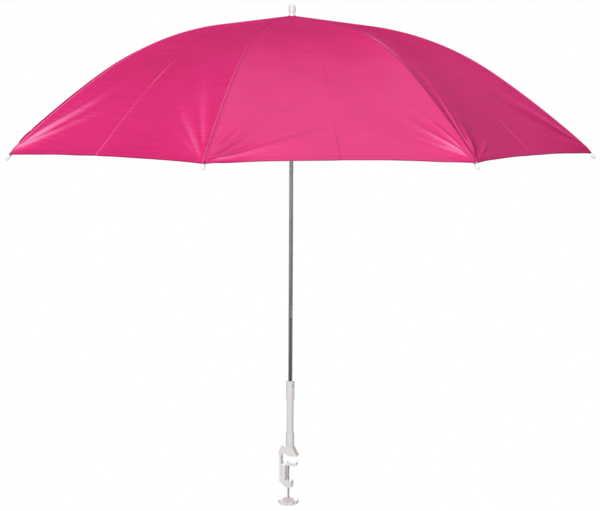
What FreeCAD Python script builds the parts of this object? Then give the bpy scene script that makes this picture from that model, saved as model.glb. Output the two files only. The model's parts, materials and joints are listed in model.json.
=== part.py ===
import FreeCAD, Part
import math
import os

# Clamp-on pram parasol with eight ribs. Millimetres, +Z up.
# The zero point is on the post's axis, in the face of the clamp's upper jaw.
# The clamp opens towards +X and the first rib points along +X.

Vector = FreeCAD.Vector
UP = Vector(0, 0, 1)
ACROSS = Vector(0, 1, 0)
ORIGIN = Vector(0, 0, 0)

# Fits between pieces
fixed_gap = 0.1
turn_gap = 0.3
side_gap = 0.25
cloth_gap = 0.3
cut_overrun = 2.0

# Clamp body, reaches from the post's axis and heights from the upper jaw's face
clamp_width = 16.0
jaw_reach = 15.0
jaw_end_height = 1.8
jaw_heel_reach = 1.0
jaw_knee_reach = 11.0
jaw_knee_height = 7.6
jaw_root_reach = 7.0
jaw_root_height = 15.7
shoulder_reach = 15.0
shoulder_height = 19.6
hump_reach = 20.0
hump_height = 4.6
waist_depth = 1.4
spine_back_reach = 17.9
spine_front_reach = 7.0
throat_reach = 15.0
throat_mouth_reach = 6.0
throat_rise = 4.0
throat_fall = 16.5
heel_depth = 46.8
heel_reach = 7.0
arm_depth = 58.6
arm_thickness = 12.8
arm_reach = 4.8
shoulder_round = 5.5
hump_round = 3.0
throat_round = 5.0
corner_round = 1.0
socket_radius = 7.8
socket_height = 35.7
socket_cone_height = 7.4
socket_lip = 0.5
socket_floor = 12.0

# Clamp screw, nut, moving jaw and knob
screw_setback = 2.5
screw_radius = 2.0
screw_neck_radius = 1.3
nut_flats = 7.0
nut_height = 3.2
jaw_gap = 12.2
pad_thickness = 5.6
pad_reach = 13.2
pad_width = 15.0
pad_floor = 2.4
pad_round = 1.2
recess_radius = 3.4
clip_radius = 2.9
clip_thickness = 0.8
clip_rise = 0.4
clip_mouth = 2.0
knob_depth = 89.5
knob_height = 6.8
knob_radius = 18.75
knob_edge = 1.2
scallop_radius = 4.5
scallop_depth = 1.7
scallop_count = 10
hub_foot_radius = 12.5
hub_radius = 5.0
hub_height = 4.4
screw_hold = 9.0

# Post tube, its collar and the collar's screw
post_radius = 6.3
post_wall = 1.0
collar_base = 104.4
collar_height = 34.7
collar_radius = 7.7
collar_edge = 0.7
collar_cover = 19.0
collar_screw_height = 130.7
collar_screw_turn = -39.0
collar_screw_radius = 1.4
collar_screw_head_radius = 2.2
collar_screw_head_height = 1.5
collar_screw_proud = 0.6

# Shaft and its two spring catches
shaft_radius = 4.0
shaft_wall = 0.6
shaft_bottom = 50.0
shaft_rise = 8.0
catch_turn = -67.5
catch_width = 2.4
catch_thickness = 0.7
catch_setback = 1.4
catch_length = 35.0
catch_bead_radius = 0.6
catch_tooth_reach = 2.2
catch_tooth_length = 20.0
catch_tooth_nose = 0.6
catch_slot_spare = 2.0
lower_catch_height = 254.5
upper_catch_play = 0.4

# Canopy line over a rib, from the axis outwards
rib_count = 8
ridge_height = 792.8
crown_run = 143.6
bend_radius = 507.0
tip_bend_radius = 1383.0
crown_slope = 7.6
bend_slope = 34.1
tip_slope = 42.9

# Canopy cloth
cloth_thickness = 0.5
cloth_hole = 6.5
cloth_seam_gap = 0.2
hem_pull = 11.0
station_shares = (0.0, 0.12, 0.24, 0.36, 0.48, 0.6, 0.74, 0.88, 1.0)

# Ribs, their eyes and lugs, and the tip caps
rib_width = 3.0
rib_height = 2.8
rib_wall = 0.6
rib_start = 16.5
rib_tail = 6.5
eye_radius = 2.0
eye_thickness = 1.6
eye_root = 24.0
lug_slope = 22.0
lug_drop = 4.9
lug_radius = 1.6
lug_length = 5.0
rivet_radius = 0.8
rivet_head_radius = 1.5
rivet_head_height = 0.6
cap_radius = 2.6
cap_length = 8.9
cap_start = 0.5

# Stretchers
stretcher_height = 3.2
stretcher_wall = 0.6
stretcher_start = 7.5
stretcher_root = 15.0

# Crown and runner with their wire rings
ring_radius = 9.0
wire_radius = 0.6
wire_sides = 8
notch_radius = 10.6
notch_base = 3.6
crown_flange = 1.2
crown_hub_radius = 6.2
crown_hub_drop = 18.0
pin_drop = 13.0
pin_radius = 1.0
pin_proud = 0.3
runner_radius = 7.5
runner_drop = 42.0
runner_collar_rise = 2.2
runner_foot_height = 4.0
runner_foot_radius = 8.6
window_width = 3.4
window_length = 17.0
window_drop = 13.0

# Finial and its washer
washer_radius = 7.6
washer_thickness = 1.0
finial_height = 20.7
finial_radius = 6.5
finial_base_height = 1.2
finial_neck_radius = 5.7
finial_neck_height = 6.2
finial_dome_height = 6.0

os.makedirs("parts", exist_ok=True)

# Angles that follow from the number of ribs
rib_turn = 360.0 / rib_count
half_turn = math.radians(rib_turn / 2)


def save(shape, name):
    """Write one piece to its own file."""
    shape.exportStep("parts/" + name + ".step")


def save_round(shape, name):
    """Write one copy of a piece for every rib."""
    for number in range(rib_count):
        copy = shape.copy()
        copy.rotate(ORIGIN, UP, number * rib_turn)
        save(copy, name + "_" + str(number + 1))


def rod(radius, low, high, reach=0):
    """A round bar along Z."""
    return Part.makeCylinder(radius, high - low, Vector(reach, 0, low))


def cross_rod(radius, width, reach, height):
    """A round bar along Y, centred on the XZ plane."""
    return Part.makeCylinder(radius, width, Vector(reach, -width / 2, height), ACROSS)


def block(near, far, width, low, high):
    """A box centred on the XZ plane."""
    return Part.makeBox(far - near, width, high - low, Vector(near, -width / 2, low))


def face_of(points):
    """A flat face through a list of points."""
    return Part.Face(Part.makePolygon(points + points[:1]))


def plate(outline, width):
    """A flat plate with an outline in the XZ plane."""
    face = face_of([Vector(reach, -width / 2, height) for reach, height in outline])
    return face.extrude(ACROSS * width)


def cross_edges(shape, spots, spare):
    """The straight edges along Y that stand at the given spots of the XZ plane."""
    found = []
    for edge in shape.Edges:
        ends = [vertex.Point for vertex in edge.Vertexes]
        if len(ends) == 2 and abs(ends[0].y - ends[1].y) > spare:
            for reach, height in spots:
                if math.hypot(ends[0].x - reach, ends[0].z - height) < spare:
                    found.append(edge)
    return found


# Clamp body: one moulding with the C-shaped frame, the post socket above the upper jaw and the nut boss
jaw_end = (jaw_reach, jaw_end_height)
jaw_knee = (jaw_knee_reach, jaw_knee_height)
jaw_root = (jaw_root_reach, jaw_root_height)
shoulder = (-shoulder_reach, shoulder_height)
hump = (-hump_reach, hump_height)
waist = (-spine_back_reach, -waist_depth)
heel_back = (-spine_back_reach, -heel_depth)
heel_foot = (-heel_reach, -arm_depth)
arm_foot = (arm_reach, -arm_depth)
arm_top = (arm_reach, arm_thickness - arm_depth)
arm_root = (-spine_front_reach, arm_thickness - arm_depth)
throat_low = (-spine_front_reach, -throat_fall)
throat_low_back = (-throat_reach, -throat_fall)
throat_top_back = (-throat_reach, throat_rise)
throat_top = (-throat_mouth_reach, throat_rise)
clamp_outline = [
    (jaw_reach, 0),
    jaw_end,
    jaw_knee,
    jaw_root,
    shoulder,
    hump,
    waist,
    heel_back,
    heel_foot,
    arm_foot,
    arm_top,
    arm_root,
    throat_low,
    throat_low_back,
    throat_top_back,
    throat_top,
    (-jaw_heel_reach, 0),
]
clamp = plate(clamp_outline, clamp_width)
clamp = clamp.makeFillet(shoulder_round, cross_edges(clamp, [shoulder], fixed_gap))
clamp = clamp.makeFillet(hump_round, cross_edges(clamp, [hump, waist], fixed_gap))
clamp = clamp.makeFillet(throat_round, cross_edges(clamp, [throat_low_back, throat_top_back, throat_top], fixed_gap))
soft_corners = [jaw_end, jaw_knee, heel_back, heel_foot, arm_foot, throat_low]
clamp = clamp.makeFillet(corner_round, cross_edges(clamp, soft_corners, fixed_gap))
socket_top = socket_height + socket_cone_height
socket_bore = post_radius + turn_gap
socket_mouth = socket_bore + socket_lip
clamp = clamp.fuse(rod(socket_radius, jaw_knee_height, socket_height))
clamp = clamp.fuse(Part.makeCone(socket_radius, socket_mouth, socket_cone_height, UP * socket_height))
clamp = clamp.cut(rod(socket_bore, socket_floor, socket_top + cut_overrun))
nut_corner = nut_flats / math.sqrt(3)
nut_top = arm_thickness - arm_depth
nut_low = nut_top - nut_height
screw_bore = screw_radius + turn_gap


def hexagon(corner, low, high):
    """A six-sided bar on the screw's axis."""
    points = []
    for side in range(6):
        angle = math.radians(60 * side)
        points.append(Vector(corner * math.cos(angle) - screw_setback, corner * math.sin(angle), low))
    return face_of(points).extrude(UP * (high - low))


clamp = clamp.cut(hexagon(nut_corner + fixed_gap, nut_low, nut_top + cut_overrun))
clamp = clamp.cut(rod(screw_bore, -arm_depth - cut_overrun, nut_low + cut_overrun, -screw_setback))
clamp = clamp.removeSplitter()
save(clamp, "clamp_body")

# Clamp nut: a steel hexagon nut held in the boss of the lower arm
nut = hexagon(nut_corner, nut_low, nut_top)
nut = nut.cut(rod(screw_bore, nut_low - cut_overrun, nut_top + cut_overrun, -screw_setback))
save(nut, "clamp_nut")

# Moving jaw: a plate on the screw's end that slides up and down in front of the frame's spine
pad_top = -jaw_gap
pad_low = pad_top - pad_thickness
pad_back = -spine_front_reach + turn_gap
pad_outline = [(pad_back, pad_low), (pad_reach, pad_low), (pad_reach, pad_top), (pad_back, pad_top)]
pad = plate(pad_outline, pad_width)
pad = pad.makeFillet(pad_round, cross_edges(pad, [(pad_reach, pad_low), (pad_reach, pad_top)], fixed_gap))
pad = pad.cut(rod(recess_radius, pad_low + pad_floor, pad_top + cut_overrun, -screw_setback))
pad = pad.cut(rod(screw_neck_radius + turn_gap, pad_low - cut_overrun, pad_top, -screw_setback))
save(pad, "moving_jaw")

# Clamp screw: a threaded rod whose neck passes through the moving jaw
clip_low = pad_low + pad_floor + clip_rise
clip_top = clip_low + clip_thickness
knob_top = knob_height - knob_depth
screw_low = knob_top + hub_height - screw_hold
neck_low = pad_low - turn_gap
neck_top = pad_top - clip_rise
screw = rod(screw_radius, screw_low, neck_low, -screw_setback)
screw = screw.fuse(rod(screw_neck_radius, neck_low, neck_top, -screw_setback))
save(screw.removeSplitter(), "clamp_screw")

# Jaw clip: an open spring ring round the screw's neck, in the recess of the moving jaw
clip = rod(clip_radius, clip_low, clip_top, -screw_setback)
clip = clip.cut(rod(screw_neck_radius + fixed_gap, clip_low - cut_overrun, clip_top + cut_overrun, -screw_setback))
mouth_reach = clip_radius + cut_overrun - screw_setback
clip = clip.cut(block(-screw_setback, mouth_reach, clip_mouth, clip_low - cut_overrun, clip_top + cut_overrun))
save(clip, "jaw_clip")

# Clamp knob: a scalloped hand wheel with a hub, pressed on the screw's lower end
knob = rod(knob_radius, -knob_depth, knob_top)
scallop_reach = knob_radius + scallop_radius - scallop_depth
for number in range(scallop_count):
    angle = math.radians(360 * number / scallop_count)
    spot = Vector(scallop_reach * math.cos(angle), scallop_reach * math.sin(angle), -knob_depth - cut_overrun)
    knob = knob.cut(Part.makeCylinder(scallop_radius, knob_height + 2 * cut_overrun, spot))
rims = [edge for edge in knob.Edges if abs(edge.Vertexes[0].Z - edge.Vertexes[-1].Z) < fixed_gap]
knob = knob.makeChamfer(knob_edge, rims)
hub = Part.makeCone(hub_foot_radius, hub_radius, hub_height, UP * knob_top)
knob = knob.fuse(hub)
knob = knob.cut(rod(screw_radius + fixed_gap, screw_low - fixed_gap, knob_top + hub_height + cut_overrun))
knob = knob.removeSplitter()
knob.translate(Vector(-screw_setback, 0, 0))
save(knob, "clamp_knob")

# Post tube: a plain white tube that stands in the socket and turns there
post_bore = post_radius - post_wall
post_low = socket_floor + turn_gap
post_top = collar_base + collar_cover
post = rod(post_radius, post_low, post_top)
post = post.cut(rod(post_bore, post_low - cut_overrun, post_top + cut_overrun))
save(post, "post_tube")

# Post collar: a moulded sleeve over the tube's top that guides the shaft
collar_top = collar_base + collar_height
collar = rod(collar_radius, collar_base, collar_top)
collar = collar.makeChamfer(collar_edge, [edge for edge in collar.Edges if len(edge.Vertexes) == 1])
collar = collar.cut(rod(post_radius + fixed_gap, collar_base - cut_overrun, post_top))
collar = collar.cut(rod(shaft_radius + fixed_gap, collar_base, collar_top + cut_overrun))
head_low = collar_radius + collar_screw_proud - collar_screw_head_height
head_top = collar_radius + collar_screw_proud


def side_rod(radius, near, far, height, turn):
    """A round bar that points away from the axis."""
    angle = math.radians(turn)
    way = Vector(math.cos(angle), math.sin(angle), 0)
    return Part.makeCylinder(radius, far - near, way * near + UP * height, way)


def collar_rod(radius, near, far):
    """A round bar on the collar screw's axis."""
    return side_rod(radius, near, far, collar_screw_height, collar_screw_turn)


collar = collar.cut(collar_rod(collar_screw_radius + fixed_gap, 0, head_top))
collar = collar.cut(collar_rod(collar_screw_head_radius + fixed_gap, head_low, head_top + cut_overrun))
save(collar, "post_collar")

# Collar screw: a short screw that pins the shaft in the collar
collar_screw = collar_rod(collar_screw_radius, shaft_radius + fixed_gap, head_top)
collar_screw = collar_screw.fuse(collar_rod(collar_screw_head_radius, head_low, head_top))
save(collar_screw.removeSplitter(), "collar_screw")

# Line of the canopy over a rib: a straight run, a bend and a gentler bend
crown_angle = math.radians(crown_slope)
bend_angle = math.radians(bend_slope)
tip_angle = math.radians(tip_slope)
bend_length = bend_radius * (bend_angle - crown_angle)
tip_length = tip_bend_radius * (tip_angle - bend_angle)
ridge_length = crown_run + bend_length + tip_length
run_end = (crown_run * math.cos(crown_angle), ridge_height - crown_run * math.sin(crown_angle))
bend_centre = (
    run_end[0] - bend_radius * math.sin(crown_angle),
    run_end[1] - bend_radius * math.cos(crown_angle),
)
tip_centre = (
    bend_centre[0] + (bend_radius - tip_bend_radius) * math.sin(bend_angle),
    bend_centre[1] + (bend_radius - tip_bend_radius) * math.cos(bend_angle),
)


def on_circle(centre, radius, angle):
    """A point of a circle, the angle counted from straight up."""
    return (centre[0] + radius * math.sin(angle), centre[1] + radius * math.cos(angle))


def ridge_point(length, lift):
    """Reach and height of a point along the canopy line, lifted off it square to the line."""
    if length <= crown_run:
        reach = length * math.cos(crown_angle) + lift * math.sin(crown_angle)
        return (reach, ridge_height - length * math.sin(crown_angle) + lift * math.cos(crown_angle))
    if length <= crown_run + bend_length:
        angle = crown_angle + (length - crown_run) / bend_radius
        return on_circle(bend_centre, bend_radius + lift, angle)
    if length <= ridge_length:
        angle = bend_angle + (length - crown_run - bend_length) / tip_bend_radius
        return on_circle(tip_centre, tip_bend_radius + lift, angle)
    beyond = length - ridge_length
    corner = on_circle(tip_centre, tip_bend_radius + lift, tip_angle)
    return (corner[0] + beyond * math.cos(tip_angle), corner[1] - beyond * math.sin(tip_angle))


# Heights of the crown's ring, the stretchers' pivots on the ribs and the runner's ring
rib_drop = cloth_thickness + cloth_gap + rib_width / 2 * math.tan(half_turn) * math.sin(tip_angle)
notch_cover = notch_radius / math.cos(half_turn)
crown_top = ridge_height - notch_cover * math.tan(crown_angle) - cloth_thickness - cloth_gap
crown_ring = crown_top - crown_flange - turn_gap - eye_radius
pivot = on_circle(bend_centre, bend_radius - rib_drop - lug_drop, math.radians(lug_slope))
runner_ring = 2 * pivot[1] - crown_ring
reach_out = pivot[0] - ring_radius
stretcher_length = math.hypot(reach_out, pivot[1] - crown_ring)
stretcher_rise = math.atan2(pivot[1] - runner_ring, reach_out)


def channel_face(base, along, width, height, wall):
    """The U-shaped section of a folded channel, open downwards, square to the way it runs."""
    inner = width / 2 - wall
    outline = [
        (width / 2, 0),
        (width / 2, height),
        (inner, height),
        (inner, wall),
        (-inner, wall),
        (-inner, height),
        (-width / 2, height),
        (-width / 2, 0),
    ]
    down = Vector(-math.sin(along), 0, -math.cos(along))
    start = Vector(base[0], 0, base[1])
    return face_of([start + ACROSS * side + down * drop for side, drop in outline])


def way(angle):
    """A direction in the XZ plane that falls by an angle."""
    return Vector(math.cos(angle), 0, -math.sin(angle))


def bent(face, centre, first, last):
    """A section swung about a bend's centre."""
    return face.revolve(Vector(centre[0], 0, centre[1]), ACROSS, math.degrees(last - first))


def tapered(ends, width):
    """A flat plate between two upright edges, each given as its top and bottom point."""
    top_near, low_near = ends[0]
    top_far, low_far = ends[1]
    return plate([top_near, top_far, low_far, low_near], width)


# Ribs: folded steel channels with an eye on the crown's wire and a lug for the stretcher
rib_begin = rib_start / math.cos(crown_angle)
bend_begin = crown_run
tip_begin = crown_run + bend_length


def rib_section(length, along):
    """The rib's section at a place along the canopy line."""
    return channel_face(ridge_point(length, -rib_drop), along, rib_width, rib_height, rib_wall)


rib = rib_section(rib_begin, crown_angle).extrude(way(crown_angle) * (crown_run - rib_begin))
rib = rib.fuse(bent(rib_section(bend_begin, crown_angle), bend_centre, crown_angle, bend_angle))
rib = rib.fuse(bent(rib_section(tip_begin, bend_angle), tip_centre, bend_angle, tip_angle))
rib = rib.fuse(rib_section(ridge_length, tip_angle).extrude(way(tip_angle) * rib_tail))
web_middle = rib_drop + rib_wall / 2
channel_foot = rib_drop + rib_height
eye_top = ridge_point(eye_root, -web_middle)
eye_foot = ridge_point(eye_root, -channel_foot)
eye_near = ((ring_radius, crown_ring + eye_radius), (ring_radius, crown_ring - eye_radius))
rib = rib.fuse(cross_rod(eye_radius, eye_thickness, ring_radius, crown_ring))
rib = rib.fuse(tapered((eye_near, (eye_top, eye_foot)), eye_thickness))
lug_angle = math.radians(lug_slope)
lug_way = way(lug_angle) * (lug_length / 2)
lug_top = on_circle(bend_centre, bend_radius - web_middle, lug_angle)
lug_outline = [
    (lug_top[0] - lug_way.x, lug_top[1] - lug_way.z),
    (lug_top[0] + lug_way.x, lug_top[1] + lug_way.z),
    (pivot[0] + lug_radius * math.cos(lug_angle), pivot[1] - lug_radius * math.sin(lug_angle)),
    (pivot[0] - lug_radius * math.cos(lug_angle), pivot[1] + lug_radius * math.sin(lug_angle)),
]
rib = rib.fuse(plate(lug_outline, eye_thickness))
rib = rib.fuse(cross_rod(lug_radius, eye_thickness, pivot[0], pivot[1]))
wide = rib_width + cut_overrun
rib = rib.cut(cross_rod(wire_radius + turn_gap, wide, ring_radius, crown_ring))
rib = rib.cut(cross_rod(rivet_radius + fixed_gap, wide, pivot[0], pivot[1]))
save_round(rib.removeSplitter(), "rib")

# Stretchers: folded channels whose cheeks hold a rib's lug, with an eye on the runner's wire
stretcher_gap = eye_thickness + 2 * side_gap
stretcher_width = stretcher_gap + 2 * stretcher_wall
half_height = stretcher_height / 2
climb = -stretcher_rise
along = way(climb)
square = Vector(-along.z, 0, along.x)
runner_eye = Vector(ring_radius, 0, runner_ring)


def stretcher_spot(run, rise):
    """A point of the stretcher, run from the runner's eye and raised off its middle line."""
    spot = runner_eye + along * run + square * rise
    return (spot.x, spot.z)


stretcher_run = stretcher_length - stretcher_start
stretcher_top = stretcher_spot(stretcher_start, half_height)
stretcher_face = channel_face(stretcher_top, climb, stretcher_width, stretcher_height, stretcher_wall)
stretcher = stretcher_face.extrude(along * stretcher_run)
cheeks = cross_rod(half_height, stretcher_width, pivot[0], pivot[1])
stretcher = stretcher.fuse(cheeks)
fork_low = stretcher_spot(stretcher_length - lug_radius - turn_gap, -stretcher_height)
fork_top = stretcher_spot(stretcher_length - lug_radius - turn_gap, stretcher_height)
fork_far_top = stretcher_spot(stretcher_length + stretcher_height, stretcher_height)
fork_far_low = stretcher_spot(stretcher_length + stretcher_height, -stretcher_height)
stretcher = stretcher.cut(plate([fork_low, fork_top, fork_far_top, fork_far_low], stretcher_gap))
root_top = stretcher_spot(stretcher_root, half_height - stretcher_wall / 2)
root_foot = stretcher_spot(stretcher_root, -half_height)
runner_near = (stretcher_spot(0, eye_radius), stretcher_spot(0, -eye_radius))
stretcher = stretcher.fuse(cross_rod(eye_radius, eye_thickness, ring_radius, runner_ring))
stretcher = stretcher.fuse(tapered((runner_near, (root_top, root_foot)), eye_thickness))
stretcher = stretcher.cut(cross_rod(wire_radius + turn_gap, wide, ring_radius, runner_ring))
stretcher = stretcher.cut(cross_rod(rivet_radius + turn_gap, stretcher_width + cut_overrun, pivot[0], pivot[1]))
save_round(stretcher.removeSplitter(), "stretcher")

# Rib rivets: one through each lug and the two cheeks on it
rivet_length = stretcher_width + 2 * side_gap + 2 * rivet_head_height
rivet = cross_rod(rivet_radius, rivet_length, pivot[0], pivot[1])
for side in (-1, 1):
    head = Part.makeCylinder(rivet_head_radius, rivet_head_height, ORIGIN, ACROSS)
    inner = rivet_length / 2 - rivet_head_height
    start = inner if side > 0 else -rivet_length / 2
    head.translate(Vector(pivot[0], start, pivot[1]))
    rivet = rivet.fuse(head)
save_round(rivet.removeSplitter(), "rib_rivet")

# Rib tips: round-nosed caps pushed on the ribs' ends
cap_middle = -rib_drop - rib_height / 2
cap_near = ridge_point(ridge_length + cap_start, cap_middle)
cap_base = Vector(cap_near[0], 0, cap_near[1])
cap_way = way(tip_angle)
cap = Part.makeCylinder(cap_radius, cap_length - cap_radius, cap_base, cap_way)
cap = cap.fuse(Part.makeSphere(cap_radius, cap_base + cap_way * (cap_length - cap_radius)))
cap_square = Vector(math.sin(tip_angle), 0, math.cos(tip_angle))
pocket_half = rib_height / 2 + fixed_gap
pocket_start = cap_base - cap_way * cut_overrun
pocket_end = cap_base + cap_way * (rib_tail - cap_start + fixed_gap)
pocket_outline = []
for spot, lift in ((pocket_start, 1), (pocket_end, 1), (pocket_end, -1), (pocket_start, -1)):
    corner = spot + cap_square * (lift * pocket_half)
    pocket_outline.append((corner.x, corner.z))
cap = cap.removeSplitter().cut(plate(pocket_outline, rib_width + 2 * fixed_gap))
save_round(cap, "rib_tip")

# Crown: a notched hub pinned on the shaft that holds the ribs' eyes on a wire ring
notch_floor = ring_radius - eye_radius - turn_gap
notch_width = eye_thickness + 2 * side_gap
crown_low = crown_ring - notch_base
hub_low = crown_ring - crown_hub_drop
groove_floor = ring_radius - wire_radius - fixed_gap
groove_half = wire_radius + fixed_gap


def ring_cut(inner, low, high):
    """Everything outside a radius, between two heights."""
    ring = rod(notch_radius + cut_overrun, low, high)
    return ring.cut(rod(inner, low - cut_overrun, high + cut_overrun))


def notches(low, high):
    """The radial slots for the eyes."""
    slots = []
    for number in range(rib_count):
        slot = block(notch_floor, notch_radius + cut_overrun, notch_width, low, high)
        slot.rotate(ORIGIN, UP, number * rib_turn)
        slots.append(slot)
    return slots


def wire_ring(height):
    """A ring of wire for the eyes, with a section of a few flats."""
    section = []
    for side in range(wire_sides):
        angle = math.radians(360 * (side + 0.5) / wire_sides)
        spot = (ring_radius + wire_radius * math.cos(angle), height + wire_radius * math.sin(angle))
        section.append(Vector(spot[0], 0, spot[1]))
    return face_of(section).revolve(ORIGIN, UP, 360)


crown = rod(notch_radius, crown_low, crown_top)
crown = crown.fuse(rod(crown_hub_radius, hub_low, crown_ring))
crown = crown.cut(notches(crown_low - cut_overrun, crown_ring + eye_radius + turn_gap))
crown = crown.cut(ring_cut(groove_floor, crown_ring - groove_half, crown_ring + groove_half))
crown = crown.cut(rod(shaft_radius + fixed_gap, hub_low - cut_overrun, crown_top + cut_overrun))
pin_height = crown_ring - pin_drop
pin_turn = catch_turn
pin_half = crown_hub_radius + pin_proud
crown = crown.cut(side_rod(pin_radius + fixed_gap, -notch_radius, notch_radius, pin_height, pin_turn))
save(crown.removeSplitter(), "crown")
save(wire_ring(crown_ring), "crown_wire")
save(side_rod(pin_radius, -pin_half, pin_half, pin_height, pin_turn), "crown_pin")

# Runner: a notched sleeve that slides on the shaft and holds the stretchers' eyes on a wire ring
runner_floor = runner_ring - eye_radius - turn_gap
runner_low = runner_ring - runner_drop
runner_top = runner_ring + runner_collar_rise
runner_bore = shaft_radius + turn_gap + fixed_gap
runner = rod(notch_radius, runner_ring - notch_base - turn_gap, runner_top)
runner = runner.fuse(rod(runner_radius, runner_low, runner_ring))
runner = runner.fuse(rod(runner_foot_radius, runner_low, runner_low + runner_foot_height))
runner = runner.cut(notches(runner_floor, runner_top + cut_overrun))
runner = runner.cut(ring_cut(groove_floor, runner_ring - groove_half, runner_ring + groove_half))
runner = runner.cut(rod(runner_bore, runner_low - cut_overrun, runner_top + cut_overrun))
window_top = runner_ring - window_drop
window = block(0, notch_radius, window_width, window_top - window_length, window_top)
window.rotate(ORIGIN, UP, catch_turn)
runner = runner.cut(window)
save(runner.removeSplitter(), "runner")
save(wire_ring(runner_ring), "runner_wire")

# Shaft: a thin steel tube from the collar to the finial, slotted for the spring catches
upper_catch_height = runner_low - upper_catch_play
shaft_top = ridge_height + shaft_rise
shaft_bore = shaft_radius - shaft_wall
slot_width = catch_width + 2 * side_gap
shaft = rod(shaft_radius, shaft_bottom, shaft_top)
shaft = shaft.cut(rod(shaft_bore, shaft_bottom - cut_overrun, shaft_top + cut_overrun))


def catch_slot(low, high):
    """A slot in the shaft's wall in front of a spring catch."""
    slot = block(0, shaft_radius + cut_overrun, slot_width, low, high)
    slot.rotate(ORIGIN, UP, catch_turn)
    return slot


slot_length = catch_tooth_length + catch_slot_spare
shaft = shaft.cut(catch_slot(lower_catch_height - catch_slot_spare, lower_catch_height + slot_length))
shaft = shaft.cut(catch_slot(upper_catch_height - slot_length, upper_catch_height + catch_slot_spare))
shaft = shaft.cut(side_rod(pin_radius + fixed_gap, -notch_radius, notch_radius, pin_height, pin_turn))
save(shaft, "shaft")

# Spring catches: leaf springs in the shaft, each with a wedge tooth that pops out of its slot
leaf_outer = shaft_radius - catch_setback
leaf_inner = leaf_outer - catch_thickness
bead_reach = (leaf_outer + leaf_inner) / 2
tooth_tip = shaft_radius + catch_tooth_reach


def catch(height, upright):
    """A spring catch, its tooth's flat face at a height and its leaf running up or down from there."""
    leaf_end = height + upright * catch_length
    slope_end = height + upright * catch_tooth_length
    nose = height + upright * catch_tooth_nose
    outline = [
        (leaf_inner, height),
        (tooth_tip, height),
        (tooth_tip, nose),
        (leaf_outer, slope_end),
        (leaf_outer, leaf_end),
        (leaf_inner, leaf_end),
    ]
    spring = plate(outline, catch_width)
    spring = spring.fuse(cross_rod(catch_bead_radius, catch_width, bead_reach, leaf_end))
    spring.rotate(ORIGIN, UP, catch_turn)
    return spring.removeSplitter()


save(catch(lower_catch_height, 1), "bottom_catch")
save(catch(upper_catch_height, -1), "top_catch")

# Canopy cloth: one leaf per rib, from the middle of one gore to the middle of the next
hole_length = cloth_hole / math.cos(crown_angle)


def leaf_edge(share):
    """The straight line across half a leaf, from the rib to the middle of the gore."""
    ridge_reach, ridge_top = ridge_point(hole_length + share * (ridge_length - hole_length), 0)
    middle_length = hole_length + share * (ridge_length - hem_pull - hole_length)
    reach, height = ridge_point(middle_length, 0)
    radial = reach * math.cos(half_turn)
    inset = cloth_seam_gap / 2
    x = radial * math.cos(half_turn) + inset * math.sin(half_turn)
    y = radial * math.sin(half_turn) - inset * math.cos(half_turn)
    return Part.makePolygon([Vector(ridge_reach, 0, ridge_top), Vector(x, y, height)])


half_leaf = Part.makeLoft([leaf_edge(share) for share in station_shares], False, False)
half_leaf = half_leaf.Faces[0].extrude(UP * -cloth_thickness)
leaf = half_leaf.fuse(half_leaf.mirror(ORIGIN, ACROSS)).removeSplitter()
save_round(leaf, "canopy_leaf")

# Finial and washer: a domed knob on the shaft's end that holds the cloth down on the crown
washer_low = ridge_point(hole_length, 0)[1] + cloth_gap
washer_top = washer_low + washer_thickness
shaft_hole = shaft_radius + fixed_gap
washer = rod(washer_radius, washer_low, washer_top)
washer = washer.cut(rod(shaft_hole, washer_low - cut_overrun, washer_top + cut_overrun))
save(washer, "finial_washer")
base_top = washer_top + finial_base_height
neck_end = base_top + finial_neck_height
dome_low = washer_top + finial_height - finial_dome_height
finial_top = washer_top + finial_height
finial = rod(finial_radius, washer_top, base_top)
finial = finial.fuse(rod(finial_neck_radius, base_top, neck_end))
finial = finial.fuse(rod(finial_radius, neck_end, dome_low))
dome_radius = (finial_radius ** 2 + finial_dome_height ** 2) / (2 * finial_dome_height)
dome = Part.makeSphere(dome_radius, UP * (finial_top - dome_radius))
dome = dome.common(rod(finial_radius, dome_low, finial_top + cut_overrun))
finial = finial.fuse(dome).removeSplitter()
finial = finial.cut(rod(shaft_hole, washer_top - cut_overrun, shaft_top + fixed_gap))
save(finial, "finial")
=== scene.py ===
import json
import math
import random

import bpy
from mathutils import Matrix, Vector, noise


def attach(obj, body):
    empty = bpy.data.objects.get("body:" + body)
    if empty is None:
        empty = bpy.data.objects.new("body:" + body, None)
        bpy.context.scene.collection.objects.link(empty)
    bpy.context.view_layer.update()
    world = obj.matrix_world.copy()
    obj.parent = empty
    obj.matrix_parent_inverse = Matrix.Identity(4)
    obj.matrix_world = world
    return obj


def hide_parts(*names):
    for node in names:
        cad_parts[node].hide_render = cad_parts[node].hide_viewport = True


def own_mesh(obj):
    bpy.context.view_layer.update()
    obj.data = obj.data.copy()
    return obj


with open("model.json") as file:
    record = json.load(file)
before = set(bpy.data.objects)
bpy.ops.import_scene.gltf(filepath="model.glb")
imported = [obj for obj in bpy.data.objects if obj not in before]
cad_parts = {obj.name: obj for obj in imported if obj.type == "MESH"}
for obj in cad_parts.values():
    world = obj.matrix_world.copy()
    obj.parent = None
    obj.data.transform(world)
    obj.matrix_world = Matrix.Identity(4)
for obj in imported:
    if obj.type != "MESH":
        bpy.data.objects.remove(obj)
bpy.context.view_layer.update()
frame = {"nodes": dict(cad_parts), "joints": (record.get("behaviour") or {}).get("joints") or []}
cad = frame["nodes"]
scene = bpy.context.scene
scene.view_settings.view_transform = "Standard"

# Clamp: white moulded frame with the post's socket, its moving jaw and the scalloped hand knob.
# One batch of warm white plastic with a faint cloudy tint, a fine spark texture and dull scuffs.


# a new material with its shader
def start_finish(name):
    finish = bpy.data.materials.new(name)
    finish.use_nodes = True
    return finish


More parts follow.
